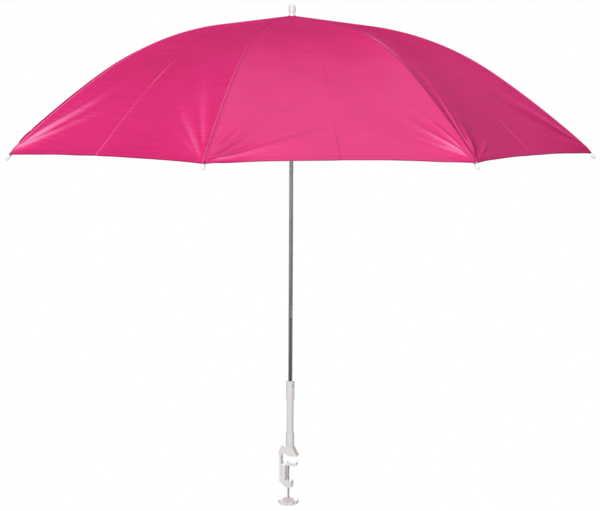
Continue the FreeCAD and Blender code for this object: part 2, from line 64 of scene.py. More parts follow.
# a cloudy pattern that stays with the piece
def add_speckle(finish, scale, detail, place=None):
    nodes, links = finish.node_tree.nodes, finish.node_tree.links
    if place is None:
        place = nodes.new("ShaderNodeTexCoord").outputs["Object"]
    speckle = nodes.new("ShaderNodeTexNoise")
    speckle.inputs["Scale"].default_value = scale
    speckle.inputs["Detail"].default_value = detail
    links.new(place, speckle.inputs["Vector"])
    return speckle


# the two colours that a pattern runs between
def add_tint(finish, level, dark_at, dark, light_at, light):
    tint = finish.node_tree.nodes.new("ShaderNodeValToRGB")
    tint.color_ramp.elements[0].position = dark_at
    tint.color_ramp.elements[0].color = dark
    tint.color_ramp.elements[1].position = light_at
    tint.color_ramp.elements[1].color = light
    finish.node_tree.links.new(level, tint.inputs["Fac"])
    return tint


# a pattern makes the surface smoother and duller
def add_gloss(finish, level, smooth, dull, start=0.0, end=1.0):
    nodes, links = finish.node_tree.nodes, finish.node_tree.links
    gloss = nodes.new("ShaderNodeMapRange")
    gloss.inputs["From Min"].default_value = start
    gloss.inputs["From Max"].default_value = end
    gloss.inputs["To Min"].default_value = smooth
    gloss.inputs["To Max"].default_value = dull
    links.new(level, gloss.inputs["Value"])
    links.new(gloss.outputs["Result"], nodes["Principled BSDF"].inputs["Roughness"])
    return gloss


# a pattern as fine unevenness of the surface
def add_relief(finish, level, strength, depth):
    nodes, links = finish.node_tree.nodes, finish.node_tree.links
    relief = nodes.new("ShaderNodeBump")
    relief.inputs["Strength"].default_value = strength
    relief.inputs["Distance"].default_value = depth
    links.new(level, relief.inputs["Height"])
    links.new(relief.outputs["Normal"], nodes["Principled BSDF"].inputs["Normal"])
    return relief


# the CAD pieces get their finish and keep their shape
def dress(names, finish):
    for name in names:
        cad[name].data.materials.clear()
        cad[name].data.materials.append(finish)


plastic = start_finish("white_plastic")
shader = plastic.node_tree.nodes["Principled BSDF"]
shader.inputs["IOR"].default_value = 1.47
cloud = add_speckle(plastic, scale=70, detail=5)
tint = add_tint(
    plastic,
    cloud.outputs["Fac"],
    dark_at=0.3,
    dark=(0.785, 0.760, 0.728, 1),
    light_at=0.62,
    light=(0.825, 0.803, 0.772, 1),
)
plastic.node_tree.links.new(tint.outputs["Color"], shader.inputs["Base Color"])
scuff = add_speckle(plastic, scale=260, detail=6)
scuff.inputs["Distortion"].default_value = 1.2
add_gloss(plastic, scuff.outputs["Fac"], smooth=0.30, dull=0.52, start=0.35, end=0.75)
grain = add_speckle(plastic, scale=1500, detail=2)
add_relief(plastic, grain.outputs["Fac"], strength=0.08, depth=0.00010)
dress(("clamp_body", "moving_jaw", "clamp_knob"), plastic)

# Clamp screw: zinc plated M4 rod with a rolled thread and a plain neck through the moving jaw.
# The nut in the lower arm and the spring ring on the neck have the same plating.
zinc = start_finish("zinc_steel")
shader = zinc.node_tree.nodes["Principled BSDF"]
shader.inputs["Metallic"].default_value = 1.0
patch = add_speckle(zinc, scale=240, detail=6)
tint = add_tint(
    zinc,
    patch.outputs["Fac"],
    dark_at=0.35,
    dark=(0.42, 0.41, 0.395, 1),
    light_at=0.7,
    light=(0.62, 0.61, 0.59, 1),
)
zinc.node_tree.links.new(tint.outputs["Color"], shader.inputs["Base Color"])
add_gloss(zinc, patch.outputs["Fac"], smooth=0.24, dull=0.55)
screw_axis, screw_low, neck_low, neck_top = -0.0025, -0.0873, -0.0181, -0.0126
pitch, crest, root = 0.0007, 0.002, 0.0016
flank, land = 0.38, 0.12
neck_radius, neck_root = 0.0013, 0.001
# one point is drawn out to the section of one turn, which is then wound up the rod
bpy.ops.object.select_all(action="DESELECT")
bpy.ops.mesh.primitive_plane_add(size=0.001)
thread = bpy.context.object
thread.name = "clamp_screw_thread"
bpy.ops.object.mode_set(mode="EDIT")
bpy.ops.mesh.select_all(action="SELECT")
bpy.ops.mesh.merge(type="CENTER")
bpy.ops.transform.translate(value=(root, 0, screw_low - pitch * 0.5))
for outward, up in ((crest - root, flank), (0, land), (root - crest, flank), (0, land)):
    bpy.ops.mesh.extrude_vertices_move(TRANSFORM_OT_translate={"value": (outward, 0, up * pitch)})
bpy.ops.object.mode_set(mode="OBJECT")
wind = thread.modifiers.new("wind", "SCREW")
wind.screw_offset = pitch
wind.iterations = round((neck_low - screw_low) / pitch)
wind.steps = 20
wind.render_steps = 20
wind.use_merge_vertices = True
wind.merge_threshold = 0.00001
bpy.ops.object.modifier_apply(modifier="wind")
bpy.ops.object.mode_set(mode="EDIT")
bpy.ops.mesh.select_all(action="SELECT")
bpy.ops.mesh.normals_make_consistent(inside=False)
bpy.ops.mesh.select_all(action="DESELECT")
for radius, low, high in ((root, screw_low, neck_low), (neck_radius, neck_low - neck_root, neck_top)):
    centre = (0, 0, (low + high) / 2)
    bpy.ops.mesh.primitive_cylinder_add(vertices=32, radius=radius, depth=high - low, location=centre)
bpy.ops.mesh.select_all(action="SELECT")
bpy.ops.transform.translate(value=(screw_axis, 0, 0))
bpy.ops.object.mode_set(mode="OBJECT")
bpy.ops.object.shade_smooth_by_angle(angle=math.radians(35))
thread.data.materials.append(zinc)
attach(thread, "screw")
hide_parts("clamp_screw")
dress(("clamp_nut", "jaw_clip"), zinc)

# Post: white tube in the clamp's socket, and the sleeve on its top that guides the shaft.
# A small plated screw through the sleeve pins the shaft.
dress(("post_tube", "post_collar"), plastic)
dress(("collar_screw",), zinc)

# Shaft: thin plated steel tube, dark satin grey, from the post's sleeve up to the finial.
# It is drawn lengthwise, so it has fine long streaks; its colour is painted darker low down and lighter at
# the top, as painted shade and light.
steel = start_finish("grey_steel")
nodes, links = steel.node_tree.nodes, steel.node_tree.links
shader = nodes["Principled BSDF"]
shader.inputs["Metallic"].default_value = 1.0
place = nodes.new("ShaderNodeTexCoord")
draw = nodes.new("ShaderNodeMapping")
draw.inputs["Scale"].default_value = (900, 900, 9)
links.new(place.outputs["Object"], draw.inputs["Vector"])
streak = add_speckle(steel, scale=1, detail=4, place=draw.outputs["Vector"])
smear = add_speckle(steel, scale=18, detail=5)
streaked = nodes.new("ShaderNodeMath")
streaked.operation = "MULTIPLY"
links.new(streak.outputs["Fac"], streaked.inputs[0])
links.new(smear.outputs["Fac"], streaked.inputs[1])
tint = add_tint(
    steel,
    streaked.outputs["Value"],
    dark_at=0.12,
    dark=(0.075, 0.072, 0.078, 1),
    light_at=0.45,
    light=(0.15, 0.147, 0.157, 1),
)
# painted shade and light: the colour is multiplied darker low down and lighter at the top
lengthwise = nodes.new("ShaderNodeSeparateXYZ")
links.new(place.outputs["Object"], lengthwise.inputs["Vector"])
painted_height_shade = nodes.new("ShaderNodeMapRange")
painted_height_shade.inputs["From Min"].default_value = 0.14
painted_height_shade.inputs["From Max"].default_value = 0.52
painted_height_shade.inputs["To Min"].default_value = 0.42
painted_height_shade.inputs["To Max"].default_value = 1.5
links.new(lengthwise.outputs["Z"], painted_height_shade.inputs["Value"])
shaded = nodes.new("ShaderNodeMix")
shaded.data_type = "RGBA"
shaded.blend_type = "MULTIPLY"
shaded.inputs["Factor"].default_value = 1.0
links.new(tint.outputs["Color"], shaded.inputs["A"])
links.new(painted_height_shade.outputs["Result"], shaded.inputs["B"])
# painted highlight: the base colour is painted paler on the tube's flanks, where it is seen at a slant
painted_flank_highlight = nodes.new("ShaderNodeLayerWeight")
painted_flank_highlight.inputs["Blend"].default_value = 0.42
painted_flank_mix = nodes.new("ShaderNodeMix")
painted_flank_mix.data_type = "RGBA"
painted_flank_mix.inputs["B"].default_value = (0.72, 0.72, 0.74, 1)
links.new(shaded.outputs["Result"], painted_flank_mix.inputs["A"])
links.new(painted_flank_highlight.outputs["Facing"], painted_flank_mix.inputs["Factor"])
links.new(painted_flank_mix.outputs["Result"], shader.inputs["Base Color"])
add_gloss(steel, streak.outputs["Fac"], smooth=0.22, dull=0.42)
add_relief(steel, streak.outputs["Fac"], strength=0.12, depth=0.00005)
dress(("shaft",), steel)

# Spring catches: leaf springs in the shaft's slots, each with a tooth that stops the runner.
# Tempered steel, brown from the oven, with darker stains and a dull gloss.
spring = start_finish("spring_steel")
shader = spring.node_tree.nodes["Principled BSDF"]
shader.inputs["Metallic"].default_value = 1.0
stain = add_speckle(spring, scale=320, detail=5)
tint = add_tint(
    spring,
    stain.outputs["Fac"],
    dark_at=0.35,
    dark=(0.13, 0.10, 0.085, 1),
    light_at=0.72,
    light=(0.32, 0.25, 0.20, 1),
)
spring.node_tree.links.new(tint.outputs["Color"], shader.inputs["Base Color"])
add_gloss(spring, stain.outputs["Fac"], smooth=0.30, dull=0.55)
dress(("top_catch", "bottom_catch"), spring)

# Crown and runner: white moulded hubs, notched for the ribs and for the stretchers.
# Plated wire rings hold these in the notches, and a plated cross pin holds the crown on the shaft.
dress(("crown", "runner"), plastic)
dress(("crown_wire", "crown_pin", "runner_wire"), zinc)

# Ribs and stretchers: channels folded from galvanised steel strip, with a dull spangle.
# Plated rivets join them at the ribs' lugs.
galvanised = start_finish("rib_steel")
nodes, links = galvanised.node_tree.nodes, galvanised.node_tree.links
shader = nodes["Principled BSDF"]
shader.inputs["Metallic"].default_value = 1.0
place = nodes.new("ShaderNodeTexCoord")
spangle = nodes.new("ShaderNodeTexVoronoi")
spangle.inputs["Scale"].default_value = 420
links.new(place.outputs["Object"], spangle.inputs["Vector"])
fog = add_speckle(galvanised, scale=90, detail=5)
fogged = nodes.new("ShaderNodeMix")
fogged.data_type = "RGBA"
fogged.inputs["Factor"].default_value = 0.35
links.new(fog.outputs["Color"], fogged.inputs["A"])
links.new(spangle.outputs["Color"], fogged.inputs["B"])
tint = add_tint(
    galvanised,
    fogged.outputs["Result"],
    dark_at=0.25,
    dark=(0.30, 0.30, 0.31, 1),
    light_at=0.75,
    light=(0.56, 0.56, 0.57, 1),
)
links.new(tint.outputs["Color"], shader.inputs["Base Color"])
add_gloss(galvanised, fog.outputs["Fac"], smooth=0.32, dull=0.58)
rib_numbers = range(1, 9)
for piece, finish in (("rib", galvanised), ("stretcher", galvanised), ("rib_rivet", zinc)):
    dress(["%s_%d" % (piece, number) for number in rib_numbers], finish)

# Rib tips: small moulded caps on the ribs' ends, which hold the corners of the cloth.
# Natural nylon, a cooler and slightly milky white, faintly mottled and dull.
nylon = start_finish("natural_nylon")
shader = nylon.node_tree.nodes["Principled BSDF"]
shader.inputs["IOR"].default_value = 1.53
shader.inputs["Subsurface Weight"].default_value = 0.15
shader.inputs["Subsurface Scale"].default_value = 0.002
mottle = add_speckle(nylon, scale=220, detail=5)
tint = add_tint(
    nylon,
    mottle.outputs["Fac"],
    dark_at=0.32,
    dark=(0.79, 0.81, 0.815, 1),
    light_at=0.66,
    light=(0.86, 0.875, 0.88, 1),
)
nylon.node_tree.links.new(tint.outputs["Color"], shader.inputs["Base Color"])
add_gloss(nylon, mottle.outputs["Fac"], smooth=0.30, dull=0.50)
add_relief(nylon, mottle.outputs["Fac"], strength=0.10, depth=0.00010)
dress(["rib_tip_%d" % number for number in rib_numbers], nylon)

# Canopy: pink satin polyester, eight gores sewn along the ribs and stretched from the finial to the tips.
# The seams are sewn flat, the hem is turned up and stitched, and each gore keeps a line from its packing; the
# cloth's colour carries painted highlights and painted shade along these lines and along the tension folds.
# For the fold, the cloth over each rib is made as a ridge strip and a wing on either side of it.


# one step of arithmetic in a finish, on numbers or on other steps
def reckon(finish, operation, *values):
    step = finish.node_tree.nodes.new("ShaderNodeMath")
    step.operation = operation
    for socket, value in zip(step.inputs, values):
        if isinstance(value, (int, float)):
            socket.default_value = value
        else:
            finish.node_tree.links.new(value, socket)
    return step.outputs["Value"]


cloth = start_finish("pink_cloth")
nodes, links = cloth.node_tree.nodes, cloth.node_tree.links
shader = nodes["Principled BSDF"]
shader.inputs["Specular IOR Level"].default_value = 0.0
flat_place = nodes.new("ShaderNodeUVMap")
flat_place.uv_map = "cloth"
split = nodes.new("ShaderNodeSeparateXYZ")
links.new(flat_place.outputs["UV"], split.inputs["Vector"])
# weft threads of uneven thickness run across each gore, in a plain weave
thread_pitch = 0.0008
weft = nodes.new("ShaderNodeMapping")
weft.inputs["Scale"].default_value = (9, 330, 1)
links.new(flat_place.outputs["UV"], weft.inputs["Vector"])
slub = add_speckle(cloth, scale=1, detail=4, place=weft.outputs["Vector"])
threads = []
for axis in ("X", "Y"):
    turns = reckon(cloth, "MULTIPLY", split.outputs[axis], 2 * math.pi / thread_pitch)
    threads.append(reckon(cloth, "SINE", turns))
weave = reckon(cloth, "MULTIPLY", threads[0], threads[1])
cloud = add_speckle(cloth, scale=6, detail=3)
# the colour of the cloth as one level, which the marks on the mesh raise and lower, most of them as painted
# highlights and painted shade
slub_share, cloud_share, level_start = 0.26, 0.22, -0.75
uneven = reckon(cloth, "MULTIPLY_ADD", slub.outputs["Fac"], slub_share, level_start)
level = reckon(cloth, "MULTIPLY_ADD", cloud.outputs["Fac"], cloud_share, uneven)
marks = {}
for name in ("seam", "hem", "crease", "painted_crease", "painted_light_and_shade"):
    mark = nodes.new("ShaderNodeAttribute")
    mark.attribute_name = name
    marks[name] = mark.outputs["Fac"]
# painted lines across a seam and a hem, against the distance from the edge in metres: painted shade in the
# seam's groove, along the hem's edge and at its turned fold, and a painted highlight on the seam's edge
seam_lines = ((0, 0.15), (0.0004, 0.19), (0.0012, 0.49), (0.0019, 0.54), (0.0029, 0.53), (0.0044, 0.5))
hem_lines = ((0, 0.16), (0.0012, 0.22), (0.0026, 0.5), (0.0088, 0.5), (0.0094, 0.44), (0.0102, 0.5))
for name, span, lines in (("seam", 0.006, seam_lines), ("hem", 0.012, hem_lines)):
    section = nodes.new("ShaderNodeValToRGB")
    section.color_ramp.elements.remove(section.color_ramp.elements[1])
    for at, grey in lines:
        stop = section.color_ramp.elements.new(at / span) if at else section.color_ramp.elements[0]
        stop.position = at / span
        stop.color = (grey, grey, grey, 1)
    links.new(reckon(cloth, "DIVIDE", marks[name], span), section.inputs["Fac"])
    level = reckon(cloth, "ADD", level, section.outputs["Color"])
# the packing line's painted highlight or painted shade, then the painted highlights and painted shade of the
# folds, seams and gores
fold_line = nodes.new("ShaderNodeMapRange")
fold_line.inputs["From Min"].default_value = 0.0004
fold_line.inputs["From Max"].default_value = 0.0015
fold_line.inputs["To Min"].default_value = 1.0
fold_line.inputs["To Max"].default_value = 0.0
links.new(reckon(cloth, "ABSOLUTE", marks["crease"]), fold_line.inputs["Value"])
painted_marks = reckon(cloth, "MULTIPLY_ADD", fold_line.outputs["Result"], marks["painted_crease"], marks["painted_light_and_shade"])
level = reckon(cloth, "ADD", level, painted_marks)
# a stitch every 2.8 mm, beside the seam and along the hem
stitch_pitch, stitch_share, thread_half, stitch_shade = 0.0028, 0.72, 0.0003, -0.14
sewn = []
for name, sewn_at, along in (("seam", 0.0021, "Y"), ("hem", 0.0072, "X")):
    near = reckon(cloth, "COMPARE", marks[name], sewn_at, thread_half)
    count = reckon(cloth, "MULTIPLY", split.outputs[along], 1 / stitch_pitch)
    dash = reckon(cloth, "LESS_THAN", reckon(cloth, "FRACT", count), stitch_share)
    sewn.append(reckon(cloth, "MULTIPLY", near, dash))
stitches = reckon(cloth, "MAXIMUM", sewn[0], sewn[1])
level = reckon(cloth, "MULTIPLY_ADD", stitches, stitch_shade, level)
# one scale of colours, from the painted shade of a seam's groove over the plain cloth to the painted
# highlight on a fold
tint = add_tint(
    cloth,
    level,
    dark_at=0.0,
    dark=(0.17, 0.006, 0.045, 1),
    light_at=1.0,
    light=(1.0, 0.25, 0.50, 1),
)
tint.color_ramp.elements.new(0.43).color = (0.66, 0.013, 0.148, 1)
tint.color_ramp.elements.new(0.56).color = (0.80, 0.023, 0.198, 1)
links.new(tint.outputs["Color"], shader.inputs["Base Color"])
gloss = add_gloss(cloth, slub.outputs["Fac"], smooth=0.34, dull=0.46, start=0.3, end=0.7)
weave_height = 0.12
high = reckon(cloth, "MULTIPLY_ADD", weave, weave_height, slub.outputs["Fac"])
relief = add_relief(cloth, reckon(cloth, "ADD", high, stitches), strength=0.30, depth=0.00025)
# some light comes through, and a thin pale satin lies over the dyed threads
through = nodes.new("ShaderNodeBsdfTranslucent")
through.inputs["Color"].default_value = (0.80, 0.03, 0.20, 1)
thin = nodes.new("ShaderNodeMixShader")
thin.inputs["Fac"].default_value = 0.12
links.new(shader.outputs["BSDF"], thin.inputs[1])
links.new(through.outputs["BSDF"], thin.inputs[2])
satin = nodes.new("ShaderNodeBsdfAnisotropic")
satin.inputs["Color"].default_value = (1.0, 0.60, 0.88, 1)
links.new(gloss.outputs["Result"], satin.inputs["Roughness"])
links.new(relief.outputs["Normal"], satin.inputs["Normal"])
glaze = nodes.new("ShaderNodeMixShader")
glaze.inputs["Fac"].default_value = 0.04
links.new(thin.outputs["Shader"], glaze.inputs[1])
links.new(satin.outputs["BSDF"], glaze.inputs[2])
links.new(glaze.outputs["Shader"], nodes["Material Output"].inputs["Surface"])

# the line over a rib: straight from the finial, then a bend and a flatter one, with the slopes between them
ridge_top, straight, bend, tip_bend = 0.7928, 0.1436, 0.507, 1.383
slope_a, slope_b, slope_c = (math.radians(angle) for angle in (7.6, 34.1, 42.9))
bend_end = straight + bend * (slope_b - slope_a)
ridge_end = bend_end + tip_bend * (slope_c - slope_b)
bend_x = straight * math.cos(slope_a) - bend * math.sin(slope_a)
bend_z = ridge_top - straight * math.sin(slope_a) - bend * math.cos(slope_a)
tip_x = bend_x + (bend - tip_bend) * math.sin(slope_b)
tip_z = bend_z + (bend - tip_bend) * math.cos(slope_b)


# slope, reach from the shaft and height, at a length from the finial
def ridge_at(length):
    if length <= straight:
        return slope_a, length * math.cos(slope_a), ridge_top - length * math.sin(slope_a)
    if length <= bend_end:
        slope = slope_a + (length - straight) / bend
        return slope, bend_x + bend * math.sin(slope), bend_z + bend * math.cos(slope)
    slope = slope_b + (length - bend_end) / tip_bend
    return slope, tip_x + tip_bend * math.sin(slope), tip_z + tip_bend * math.cos(slope)


# from 0 at the start to 1 at the end of the run
def rise(value, run, start=0.0):
    return min(1.0, max(0.0, (value - start) / run))


# a hump with a height of 1
def swell(value, spread, middle=0.0):
    return math.exp(-(((value - middle) / spread) ** 2))


# the four corners of each face between rows of points
def grid_faces(rows, wide):
    return [
        (corner, corner + wide, corner + wide + 1, corner + 1)
        for row in range(rows - 1)
        for corner in range(row * wide, row * wide + wide - 1)
    ]


gore_angle, tip_reach = 45, 0.5256
half = math.radians(gore_angle / 2)
corner_half = tip_reach * math.sin(half)
hole, hem_pull, cloth_gauge = 0.0066, 0.011, 0.0004
notch_depth, notch_half = 0.0032, 0.0040
# distances of the mesh's rows from the hem and columns from the seam, then the counts of the others
hem_rows = (0.016, 0.012, 0.0098, 0.0090, 0.0060, 0.0030, 0.0008, 0.0)
seam_columns = (0.0, 0.0010, 0.0019, 0.0024, 0.0030, 0.0046)
seam_share = 0.12
body_rows, strip_columns, wing_columns = 150, 12, 48
row_crowding, wing_crowding = 1.35, 1.25
rows = body_rows + len(hem_rows)
# folded, the strip along each rib laps a little over its neighbours
fold_joint = next(joint for joint in frame["joints"] if joint["name"] == "canopy_fold")
fold_angle = math.radians(fold_joint["range_deg"][1])
hinge_reach, hinge_height = fold_joint["pos_m"][0], fold_joint["pos_m"][2]
strip_share = math.tan(half) / (math.cos(half) + math.tan(half) * math.sin(half) * math.cos(fold_angle))
strip_end = len(seam_columns) + strip_columns
strip_lap, strip_most, wing_plane, wing_keep = 0.0018, 0.9, 0.003, 0.03
# sizes of the sag, the rise at a tip, the ripples, the layers of a seam and a hem, and the packing line
sag, sag_end, sag_power, tip_rise = 0.008, 0.86, 0.8, 0.0016
broad_waves, broad_ripple, fine_waves, fine_ripple = 9.0, 0.0022, 23.0, 0.0007
fine_start = Vector((7, 3, 5))
seam_height, hem_height, crease_height = 0.00045, 0.00016, 0.0004
# painted highlights and painted dark lines of single places, and painted shade over whole gores, as steps on
# the scale of shades
painted_seam_highlight, painted_ridge_highlight, painted_corner_highlight, painted_groove_shade = 0.40, 0.34, 0.30, 0.42
painted_gore_slant, painted_gore_shade = 0.025, 0.018
# tension folds that start at a rib's tip: angle above the hem, height, length, width and painted highlight of
# each, painted shade where it is below zero
pulls = {
    (6, -1): ((12, 0.0018, 0.10, 0.0045, 0.05), (26, 0.0016, 0.11, 0.0045, 0.05)),
    (6, 1): (
        (27, 0.0022, 0.11, 0.0040, 0.08),
        (39, 0.0056, 0.10, 0.0042, 0.46),
        (46, 0.0010, 0.11, 0.0014, -0.22),
        (53, 0.0042, 0.13, 0.0042, 0.60),
        (58, 0.0010, 0.12, 0.0014, -0.14),
        (61, 0.0014, 0.13, 0.0024, 0.12),
    ),
    (7, -1): (
        (19, 0.0030, 0.09, 0.0044, 0.08),
        (31, 0.0050, 0.11, 0.0038, 0.14),
        (42, 0.0056, 0.13, 0.0032, 0.26),
        (56, 0.0030, 0.24, 0.0034, 0.12),
    ),
    (7, 1): (
        (8, 0.0030, 0.07, 0.0034, 0.05),
        (14.5, 0.0050, 0.08, 0.0040, 0.40),
        (19.5, 0.0014, 0.32, 0.0014, -0.15),
        (28, 0.0024, 0.10, 0.0030, -0.08),
        (40, 0.0024, 0.12, 0.0036, -0.08),
        (56, 0.0018, 0.16, 0.0050, 0.04),
    ),
    (8, -1): (
        (20, 0.0030, 0.065, 0.0036, 0.14),
        (27, 0.0020, 0.065, 0.0020, -0.16),
        (33, 0.0054, 0.065, 0.0032, 0.40),
        (44, 0.0066, 0.080, 0.0032, 0.60),
        (50, 0.0020, 0.075, 0.0018, -0.18),
        (57, 0.0056, 0.085, 0.0032, 0.30),
    ),
    (8, 1): (
        (10, 0.0026, 0.06, 0.0030, 0.08),
        (22, 0.0066, 0.07, 0.0026, 0.26),
        (28, 0.0016, 0.08, 0.0024, -0.16),
        (46, 0.0024, 0.11, 0.0040, -0.22),
        (54, 0.0056, 0.11, 0.0030, 0.14),
        (59, 0.0016, 0.12, 0.0012, -0.20),
        (63, 0.0030, 0.19, 0.0020, 0.36),
    ),
    (1, -1): (
        (16, 0.0022, 0.12, 0.0050, -0.06),
        (30, 0.0036, 0.15, 0.0044, 0.06),
        (44, 0.0052, 0.17, 0.0040, -0.24),
        (56, 0.0030, 0.17, 0.0046, 0.20),
    ),
    (1, 1): ((12, 0.0018, 0.10, 0.0045, 0.05), (26, 0.0016, 0.11, 0.0045, 0.05)),
}
# how the folds start away from the tip, widen along their way and dip on one side, and how narrow their
# painted highlights are
early_folds, early_start, late_start = ((6, 1), (7, 1)), 0.022, 0.048
fold_widening, fold_dip, dip_at, shine_narrow = 11, 0.55, 1.5, 1.25
hem_slant, hem_ease, hem_hold = 0.94, 0.012, 0.35
# packing line of each gore after its rib: offset from the gore's middle, painted highlight or painted shade,
# and start along the ridge
packing = {6: (-0.021, 0.42, 0.50), 7: (0.0, -0.16, 0.76), 8: (0.0, 0.34, 0.76)}
plain_packing = (0.0, 0.3, 0.6)
# waves and level of how strongly the packing line's painted highlight or shade shows, and the spread of the
# leaves on the cloth's flat map
crease_paint_waves, crease_paint_level, leaf_apart = 14.0, 0.75, 0.5
chance = random.Random(41)
for number in rib_numbers:
    azimuth = math.radians(gore_angle * (number - 1))
    ahead = Vector((math.cos(azimuth), math.sin(azimuth), 0))
    aside = Vector((-math.sin(azimuth), math.cos(azimuth), 0))
    points, flat, columns = [], [], []
    marked = {name: [] for name in marks}
    for side in (-1, 1):
        counted = list(range(strip_end + wing_columns))
        columns += [(side, column) for column in (reversed(counted) if side < 0 else counted[1:])]
        if (number, side) not in pulls:
            pulls[(number, side)] = tuple(
                (
                    angle + chance.uniform(-5, 5),
                    chance.uniform(0.0026, 0.0052),
                    chance.uniform(0.09, 0.17),
                    chance.uniform(0.0035, 0.0050),
                    chance.uniform(-0.10, 0.25),
                )
                for angle in (12, 28, 42, 56)
            )
    for row in range(rows):
        for side, column in columns:
            # place across the half gore, from the seam on the rib to the gore's middle
            # the hem's edge and the place depend on each other, so both settle in three rounds
            sewn_column = min(column, len(seam_columns) - 1)
            past_seam = column - len(seam_columns) + 1
            across = max(0, past_seam) / (strip_columns + wing_columns)
            distance = notch_half if past_seam > 0 else seam_columns[column]
            for attempt in range(3):
                edge = ridge_end - hem_pull * (2 * across - across * across)
                edge -= notch_depth * max(0.0, 1 - distance / notch_half)
                if row < body_rows:
                    body_length = edge - hem_rows[0] - hole
                    length = hole + body_length * (1 - (1 - row / body_rows) ** row_crowding)
                else:
                    length = edge - hem_rows[row - body_rows]
                slope, reach, height = ridge_at(length)
                width = reach * math.sin(half)
                seam = min(seam_columns[sewn_column], width * seam_share * sewn_column)
                folded_reach = hinge_reach + (reach - hinge_reach) * math.cos(fold_angle)
                folded_reach += (height - hinge_height) * math.sin(fold_angle)
                strip = min(strip_share * folded_reach + strip_lap, strip_most * width)
                if past_seam <= 0:
                    distance = seam
                elif column < strip_end:
                    distance = seam + (strip - seam) * past_seam / strip_columns
                else:
                    wing_share = ((column - strip_end + 1) / wing_columns) ** wing_crowding
                    distance = strip + (width - strip) * wing_share
                across = distance / width
            from_hem = edge - length
            # outward direction, that of the rib on the seam and that of the gore beside it
            swing = half * rise(distance, run=0.004) * side
            out = ahead * math.cos(swing) + aside * math.sin(swing)
            lean = math.atan(math.tan(slope) / math.cos(half))
            normal = out * math.sin(lean) + Vector((0, 0, math.cos(lean)))
            base = ahead * (reach * (1 - across * math.sin(half) ** 2))
            base += aside * (side * across * reach * math.sin(half) * math.cos(half))
            base += Vector((0, 0, height))
            # height over the plain gore
            share = length / ridge_end
            bow = math.sin(math.pi * min(1.0, share * sag_end)) ** sag_power
            lift = -sag * bow * (2 * across - across * across)
            near_tip = swell(from_hem, spread=0.09) * swell(distance, spread=0.02)
            lift += tip_rise * rise(from_hem, run=hem_ease) * near_tip
            ripple = broad_ripple * noise.noise(base * broad_waves)
            ripple += fine_ripple * noise.noise(base * fine_waves + fine_start)
            lift += ripple * rise(distance, run=0.03) * rise(length, run=0.12)
            lift += seam_height * (1 - rise(distance, start=0.0022, run=0.0008))
            lift += hem_height * (1 - rise(from_hem, start=0.0090, run=0.0008))
            gore = number if side > 0 else (number - 2) % len(rib_numbers) + 1
            offset, shade, start = packing.get(gore, plain_packing)
            crease = side * (distance - width) - offset
            lift += crease_height * swell(crease, spread=0.005) * rise(length, run=0.10)
            # distance from the rib's tip, and the angle above the hem that it is seen at from there
            along_hem, above_hem = corner_half - width + distance, hem_slant * from_hem
            apart = math.hypot(along_hem, above_hem)
            bearing = math.atan2(above_hem, along_hem)
            # a painted highlight on each seam's rolled edge, on the side of every other gore
            painted_light_and_shade = 0.0
            if gore % 2 == 0:
                rolled = swell(distance, middle=0.0016, spread=0.0009)
                painted_light_and_shade += painted_seam_highlight * rolled * rise(length, start=0.14, run=0.2)
            # a painted highlight beside one ridge with a painted shade line in a groove further down, and a
            # painted highlight over one corner's folds
            if (number, side) == (8, 1):
                beside_ridge = swell(distance, middle=0.010, spread=0.016)
                painted_light_and_shade += painted_ridge_highlight * swell(length, middle=0.262, spread=0.065) * beside_ridge
                groove = swell(distance, middle=0.0030, spread=0.0020) * rise(length, start=0.33, run=0.10)
                painted_light_and_shade -= painted_groove_shade * groove * rise(from_hem, run=0.03)
            if (number, side) == (6, 1):
                over_folds = swell(math.degrees(bearing), middle=47, spread=12)
                painted_light_and_shade += painted_corner_highlight * swell(apart, middle=0.036, spread=0.028) * over_folds
            # painted shade and light: one gore is painted from darker at its first rib to lighter at its
            # second, the next is painted darker all over
            if gore == 7:
                painted_light_and_shade += painted_gore_slant * (1 - across) * -side * rise(length, run=0.3)
            if gore == 8:
                painted_light_and_shade -= painted_gore_shade * rise(length, run=0.2)
            fold_start = early_start if (number, side) in early_folds else late_start
            for angle, tall, long, broad, painted_highlight in pulls[(number, side)]:
                off = apart * math.sin(bearing - math.radians(angle)) / (broad * (1 + fold_widening * apart))
                fade = rise(apart, run=fold_start) * swell(apart, spread=long) * rise(distance, run=0.012)
                fade *= max(0.0, 1 - across) ** 0.5 * min(1.0, from_hem / hem_ease + hem_hold)
                dip = fold_dip * swell(off, middle=dip_at, spread=1)
                lift += tall * fade * (math.exp(-(abs(off) ** 1.5)) - dip)
                # the fold's painted highlight, or painted shade where its amount is below zero
                painted_light_and_shade += painted_highlight * fade * math.exp(-((shine_narrow * off) ** 2))
            # how strongly the packing line's painted highlight or shade shows: growing along the ridge and
            # uneven
            painted_crease_strength = rise(share, start=start, run=0.15) * (crease_paint_level + noise.noise(base * crease_paint_waves))
            points.append(base + normal * lift)
            flat.append((side * distance + leaf_apart * number, length))
            marked["seam"].append(distance)
            marked["hem"].append(from_hem)
            marked["crease"].append(crease)
            marked["painted_crease"].append(shade * painted_crease_strength)
            marked["painted_light_and_shade"].append(painted_light_and_shade)
